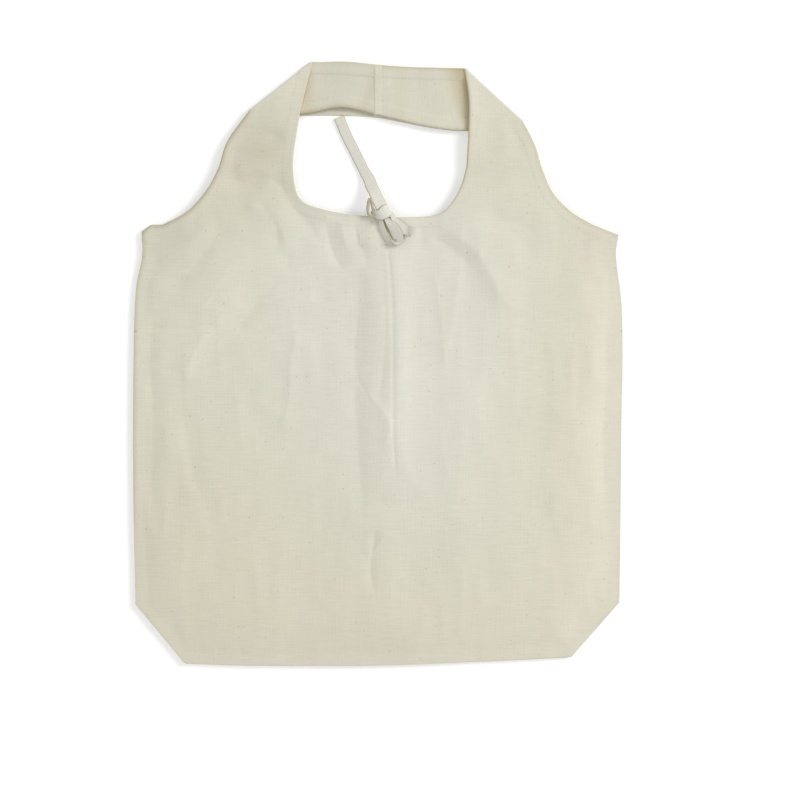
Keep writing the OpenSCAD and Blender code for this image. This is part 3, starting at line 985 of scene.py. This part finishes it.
ROOT_ROUTE = [(2, 119, 6.9), (2, 128, 6.6), (2, 135.5, 6.8), (2, 138.6, 9), (3, 136.5, 11.5)]


def sides_of(route):
    """Level directions to the left of a route, for a strip that stands on its edge."""
    along = unit(np.gradient(np.asarray(route, float), axis=0))
    return unit(np.cross(UP, along))


def joined(name, parts):
    """Several objects as one mesh."""
    with bpy.context.temp_override(active_object=parts[0], object=parts[0], selected_objects=parts,
                                   selected_editable_objects=parts):
        bpy.ops.object.join()
    parts[0].name = name
    parts[0].data.name = name
    return parts[0]


def make_knot(material):
    """The wrap over the knot, the small loop on its left and the tie's own end, which comes up from the patch."""
    wrap_ups = [(-1, -0.5, 0), (-1, -0.5, 0.3), (-0.6, -0.3, 0.8), (-0.15, -0.1, 1),
                (0.3, 0.2, 1), (0.8, 0.5, 0.6), (1, 0.6, 0.1), (1, 0.6, 0)]
    root_ups = [(0, 0, -1), (0, 0, -1), (0, 0.3, -0.95), (0, 1, 0), (0, 0.3, 0.95)]
    fine = 0.7 * MM
    wrap, _ = ribbon("wrap", np.array(WRAP_ROUTE) * MM, WRAP_WIDTHS, 2.4 * MM, wrap_ups, material, fine)
    # The loop is painted 10% darker, as painted shade.
    loop, _ = ribbon("loop", np.array(LOOP_ROUTE) * MM, [8.5 * MM] * len(LOOP_ROUTE), 2.7 * MM,
                     -sides_of(LOOP_ROUTE), material, fine, 0.9)
    root, _ = ribbon("root_end", np.array(ROOT_ROUTE) * MM, [9 * MM] * len(ROOT_ROUTE), 1.3 * MM, root_ups,
                     material, fine)
    knot = joined("knot", [wrap, loop, root])
    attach(knot, "root")
    return knot


# ---------------------------------------------------------------- seams and stitches

STITCH = 2.1 * MM
STITCH_GAP = 1.0 * MM
THREAD = 0.42 * MM


def stitches(name, runs, material):
    """Short rounded stitches along runs; each run is a line of points in space and the face normals there."""
    verts, faces = [], []
    ring = [(math.cos(a), math.sin(a)) for a in np.arange(6) * math.pi / 3]
    for line, normals in runs:
        line, normals = np.asarray(line), np.asarray(normals)
        s = np.concatenate([[0], np.cumsum(np.linalg.norm(np.diff(line, axis=0), axis=1))])
        for start in np.arange(STITCH_GAP, s[-1] - STITCH, STITCH + STITCH_GAP):
            a, b = (np.array([np.interp(t, s, line[:, k]) for k in range(3)]) for t in (start, start + STITCH))
            up = unit(np.array([np.interp(start + STITCH / 2, s, normals[:, k]) for k in range(3)]))
            along = unit(b - a)
            across = np.cross(along, up)
            base = len(verts)
            for share, size, lift in ((0.0, 0.35, -0.3), (0.18, 0.9, 0.1), (0.5, 1.0, 0.25),
                                      (0.82, 0.9, 0.1), (1.0, 0.35, -0.3)):
                centre = a + (b - a) * share + up * THREAD * lift
                for c, d in ring:
                    verts.append(centre + (across * c + up * d * 0.8) * THREAD / 2 * size)
            for i in range(4):
                for k in range(6):
                    corner = base + i * 6
                    beside = (k + 1) % 6
                    faces.append((corner + k, corner + beside, corner + 6 + beside, corner + 6 + k))
            faces.append(tuple(base + k for k in range(6))[::-1])
            faces.append(tuple(base + 24 + k for k in range(6)))
    obj = new_object(name, verts, faces, material)
    set_attribute(obj, "flat", np.array(verts))
    return obj


def stitch_rows(cloth):
    """The lines of stitches inside a panel's hems, on its upper side and on its lower side."""
    rows = []
    for free in cloth.pattern.free:
        along = resample(free, 1.5 * MM)
        d = unit(np.gradient(along, axis=0))
        n = np.stack([-d[:, 1], d[:, 0]], axis=1)
        probe = along + n * STITCH_IN
        sign = 1 if cloth.pattern.inside(probe).mean() > 0.5 else -1
        row = along + sign * n * STITCH_IN
        ok = cloth.pattern.inside(row)
        for other in cloth.pattern.free:
            ok &= from_line(row, other) > STITCH_IN - 0.3 * MM
        rows.append(row[ok])
    return rows


def runs_on(cloth, rows, height, upper):
    runs = []
    for row in rows:
        points, normals = cloth.at(row, height if upper else -height)
        gaps = np.flatnonzero(np.linalg.norm(np.diff(row, axis=0), axis=1) > 4 * MM)
        for part in np.split(np.arange(len(row)), gaps + 1):
            if len(part) > 3:
                runs.append((points[part], normals[part] * (1 if upper else -1)))
    return runs


def band_grid(cloth, half_width):
    """Points of the band across its middle: rows from its lower to its upper edge, on its visible side."""
    low = np.interp(0, *np.array(BAND_LOW[cloth.which], float).T) * MM
    top = np.interp(0, *np.array(BAND_TOP[cloth.which], float).T) * MM
    rows = []
    for y in np.linspace(low - 0.3 * MM, top + 0.3 * MM, 24):
        xs = np.linspace(-half_width, half_width, 9)
        plan = np.column_stack([xs, np.full(9, y)])
        side = np.where(xs > 0, 1, -1)
        flat = np.array([unfolded(q[None], s)[0] for q, s in zip(plan, side)])
        rows.append(cloth.lie(flat))
    return np.array(rows)


def make_join(cloth, name, material):
    """The felled seam in the middle of a handle's band: a flat ridge with a line of stitches along each side."""
    half = 4.0 * MM
    rows = band_grid(cloth, half)
    y = rows[:, 4, 1]
    in_hem = 1 - smoothstep(np.minimum(y - y[0], y[-1] - y), 9.6 * MM, 10.8 * MM)
    crown = np.array([-0.9, 0.0, 0.10, 0.08, 0.08, 0.08, 0.10, 0.0, -0.9]) * MM
    rows[:, :, 2] += CLOTH / 2 + 0.25 * MM + (0.75 * MM * in_hem)[:, None] + crown[None, :]
    under = rows[:, ::-1].copy()
    under[:, :, 2] -= 0.5 * MM + (0.75 * MM * in_hem)[:, None]
    ring = np.concatenate([rows, under], axis=1)
    m = ring.shape[1]
    verts = ring.reshape(-1, 3)
    faces = [(i * m + k, i * m + (k + 1) % m, (i + 1) * m + (k + 1) % m, (i + 1) * m + k)
             for i in range(len(rows) - 1) for k in range(m)]
    faces.append(tuple(range(m))[::-1])
    faces.append(tuple((len(rows) - 1) * m + k for k in range(m)))
    seam = new_object(name, verts, faces, material)
    set_attribute(seam, "flat", verts)
    set_attribute(seam, "tone", np.ones((len(verts), 4)), "FLOAT_COLOR")
    runs = []
    for k in (1, 7):
        line = rows[:, k] + [0, 0, 0.05 * MM]
        runs.append((line, np.tile(UP, (len(line), 1))))
    return seam, runs


def make_side_seam(name, line, material):
    """The closed edge of the pouch: the turned cloth between the two panels, with a pressed-flat section."""
    line = np.asarray(line, float)
    line = np.column_stack([line, np.full(len(line), 1.15 * MM)])
    along = unit(np.gradient(line, axis=0))
    across = unit(np.cross(UP, along))
    n = 8
    verts = []
    for i in range(len(line)):
        for a in np.arange(n) * 2 * math.pi / n:
            verts.append(line[i] + across[i] * math.cos(a) * 1.3 * MM + UP * math.sin(a) * 0.85 * MM)
    faces = [(i * n + k, i * n + (k + 1) % n, (i + 1) * n + (k + 1) % n, (i + 1) * n + k)
             for i in range(len(line) - 1) for k in range(n)]
    faces.append(tuple(range(n))[::-1])
    faces.append(tuple((len(line) - 1) * n + k for k in range(n)))
    seam = new_object(name, verts, faces, material)
    set_attribute(seam, "flat", verts)
    set_attribute(seam, "tone", np.ones((len(verts), 4)), "FLOAT_COLOR")
    return seam


def make_patch(cloth, material):
    """The piece of cloth inside the neckline that the tie is sewn under, and the lines of stitches round it."""
    xs = np.linspace(PATCH[0][0], PATCH[1][0], 22) * MM
    ys = np.linspace(PATCH[0][1], PATCH[1][1], 8) * MM
    flat = np.array([(x, y) for y in ys for x in xs])
    top, _ = cloth.at(flat, -(CLOTH / 2 + 0.1 * MM))
    low, _ = cloth.at(flat, -(CLOTH / 2 + 0.1 * MM + PATCH_T))
    n, m, count = len(xs), len(ys), len(flat)
    faces = []
    for j in range(m - 1):
        for i in range(n - 1):
            a = j * n + i
            faces.append((a, a + 1, a + n + 1, a + n))
            faces.append((a + count, a + n + count, a + n + 1 + count, a + 1 + count))
    rim = [*range(n), *range(2 * n - 1, m * n, n), *range(m * n - 2, (m - 1) * n - 1, -1),
           *range((m - 2) * n, 0, -n)]
    for a, b in zip(rim, rim[1:] + rim[:1]):
        faces.append((b, a, a + count, b + count))
    patch = new_object("tie_patch_cloth", np.vstack([top, low]), faces, material)
    flat3 = np.column_stack([flat, np.zeros(count)])
    set_attribute(patch, "flat", np.vstack([flat3, flat3]))
    set_attribute(patch, "tone", np.ones((2 * count, 4)), "FLOAT_COLOR")
    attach(patch, "root")
    inset = 1.5 * MM
    a, b = xs[0] + inset, xs[-1] - inset
    c, d = ys[0] + inset, ys[-1] - inset
    ring = resample(np.array([(a, c), (b, c), (b, d), (a, d), (a, c)]), 1.5 * MM)
    return patch, [ring]


# ---------------------------------------------------------------- making it all

make_camera()
make_stage()

tie_mat = cotton("tie_cotton", linear(224, 223, 213), linear(211, 209, 195), specks=0.0)
front_mat = cotton("front_cotton", linear(224, 222, 207), linear(212, 208, 189))
back_mat = cotton("back_cotton", linear(222, 218, 201), linear(209, 204, 184))
hem_mat = cotton("hem_cotton", linear(226, 222, 205), linear(214, 209, 190), specks=0.2)

thread_mat = cotton("thread", linear(232, 229, 216), linear(222, 217, 200), tone=False, specks=0.0)

knot = make_knot(tie_mat)
tail, tail_path = ribbon(
    "tail", TAIL_ROUTE, [11.8 * MM] * 3 + [11.0 * MM] * 2 + [9.8 * MM] * 7, 1.4 * MM,
    [(0.3, 0.1, 1)] * 3 + [(0, 0.3, 1)] * 2 + [(0, 0, 1)] * 7, tie_mat)
bow, bow_path = ribbon("bow", BOW_ROUTE, BOW_WIDTHS, 1.2 * MM, BOW_UPS, tie_mat, 0.7 * MM)
for strip, path, route in ((tail, tail_path, TAIL_ROUTE), (bow, bow_path, BOW_ROUTE)):
    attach(strip, "root")
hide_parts("tie_tail")
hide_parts("tie_bow")
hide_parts("tie_knot")

front = Cloth("front", FRONT_CREASES + LEG_CREASES)
front_upper, front_lower = cloth_pieces(front, front_mat, ("front_cloth_upper", "front_cloth_lower"))
back = Cloth("back", BACK_CREASES)
back_upper, back_lower = cloth_pieces(back, back_mat, ("back_cloth_upper", "back_cloth_lower"))

front_join, front_join_runs = make_join(front, "front_join", hem_mat)
back_join, back_join_runs = make_join(back, "back_join", hem_mat)
patch, patch_rows = make_patch(front, hem_mat)
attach(front_join, "front_handle")
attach(back_join, "back_handle")
front_rows, back_rows = stitch_rows(front), stitch_rows(back)
on_face, on_hem = CLOTH / 2 - 0.02 * MM, CLOTH / 2 + 0.5 * MM
front_runs = runs_on(front, front_rows, on_face, True) + runs_on(front, front_rows, on_hem, False)
front_runs += runs_on(front, patch_rows, CLOTH / 2 + 0.02 * MM, True) + front_join_runs
back_runs = runs_on(back, back_rows, on_hem, True) + back_join_runs
front_thread = stitches("front_stitches", front_runs, thread_mat)
back_thread = stitches("back_stitches", back_runs, thread_mat)
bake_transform(front_thread)
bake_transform(back_thread)

for name, line in (("left_side_edge", LEFT_SIDE), ("right_side_edge", RIGHT_SIDE)):
    edge = line_of(line, 4 * MM)
    edge[:, 0] -= np.sign(edge[:, 0]) * 0.9 * MM
    seam = make_side_seam(name, edge, back_mat)
    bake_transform(seam)
bottom_line = np.vstack([resample(np.array([RIGHT_SIDE[0], BOTTOM[0]], float) * MM, 4 * MM),
                         line_of(BOTTOM, 4 * MM)[1:],
                         resample(np.array([BOTTOM[-1], LEFT_SIDE[0]], float) * MM, 4 * MM)[1:]])
inward = -unit(bottom_line - [0, -0.2])
bottom_edge = make_side_seam("bottom_edge", bottom_line + inward * 0.9 * MM, back_mat)
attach(bottom_edge, "bottom_part")

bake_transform(front_upper)
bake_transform(back_upper)
for piece in (front_lower, back_lower):
    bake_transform(piece)
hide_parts("front_panel", "front_left_strap", "front_right_strap", "front_neck_hem",
            "front_left_armhole_hem", "front_right_armhole_hem", "front_handle_hems")
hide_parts("tie_patch")
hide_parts("front_panel_bottom")
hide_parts("back_panel", "back_left_strap", "back_right_strap", "back_neck_hem",
            "back_left_armhole_hem", "back_right_armhole_hem", "back_handle_hems")
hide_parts("back_panel_bottom")
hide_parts("front_handle_join")
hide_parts("back_handle_join")
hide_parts("left_side_seam", "left_side_seam_bottom")
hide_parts("right_side_seam", "right_side_seam_bottom")
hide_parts("bottom_seam", "left_corner_seam", "right_corner_seam")
